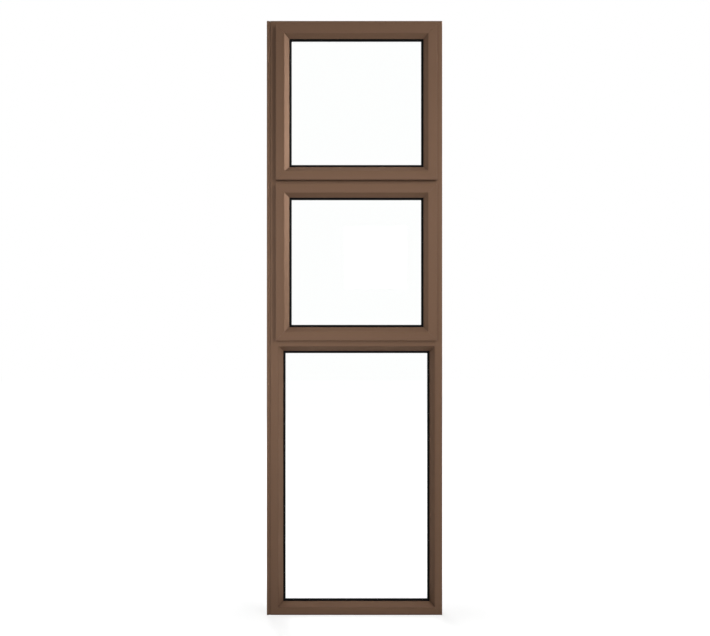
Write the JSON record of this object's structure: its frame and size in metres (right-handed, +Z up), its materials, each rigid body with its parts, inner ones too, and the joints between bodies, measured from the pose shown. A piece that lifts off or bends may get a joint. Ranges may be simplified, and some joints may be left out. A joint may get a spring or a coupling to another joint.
{
  "type": "door sidelight",
  "caption": "Tall narrow glazed side panel for a door, with proud top-hung vents over a fixed pane, fixed with screws through its hollow jambs.",
  "frame": {"origin": "middle of the sill's underside, at mid-depth of the frame", "axes": "+Z up, +X to the right seen from outside, -Y outside and +Y into the room"},
  "size_m": [0.6, 0.0513, 2.032],
  "materials": {
    "bronze_coat": "satin",
    "handle_bronze": "satin",
    "clear_glass": "polished",
    "black_rubber": "matte"
  },
  "bodies": {
    "root": {"door_side_coupling": "bronze_coat", "fixed_bead_bottom": "bronze_coat", "fixed_bead_left": "bronze_coat", "fixed_bead_right": "bronze_coat", "fixed_bead_top": "bronze_coat", "fixed_glass": "clear_glass", "fixed_inner_bead_bottom": "bronze_coat", "fixed_inner_bead_left": "bronze_coat", "fixed_inner_bead_right": "bronze_coat", "fixed_inner_bead_top": "bronze_coat", "fixed_inner_gasket": "black_rubber", "fixed_outer_gasket": "black_rubber", "frame_head": "bronze_coat", "frame_sill": "bronze_coat", "left_jamb": "bronze_coat", "light_transom": "bronze_coat", "lower_vent_bead_bottom": "bronze_coat", "lower_vent_bead_left": "bronze_coat", "lower_vent_bead_right": "bronze_coat", "lower_vent_bead_top": "bronze_coat", "lower_vent_bottom_rail": "bronze_coat", "lower_vent_glass": "clear_glass", "lower_vent_handle": "handle_bronze", "lower_vent_inner_gasket": "black_rubber", "lower_vent_left_stile": "bronze_coat", "lower_vent_outer_gasket": "black_rubber", "lower_vent_right_stile": "bronze_coat", "lower_vent_seals": "black_rubber", "lower_vent_top_rail": "bronze_coat", "right_jamb": "bronze_coat", "upper_vent_bead_bottom": "bronze_coat", "upper_vent_bead_left": "bronze_coat", "upper_vent_bead_right": "bronze_coat", "upper_vent_bead_top": "bronze_coat", "upper_vent_bottom_rail": "bronze_coat", "upper_vent_glass": "clear_glass", "upper_vent_handle": "handle_bronze", "upper_vent_inner_gasket": "black_rubber", "upper_vent_left_stile": "bronze_coat", "upper_vent_outer_gasket": "black_rubber", "upper_vent_right_stile": "bronze_coat", "upper_vent_seals": "black_rubber", "upper_vent_top_rail": "bronze_coat", "vent_transom": "bronze_coat"}
  },
  "joints": []
}
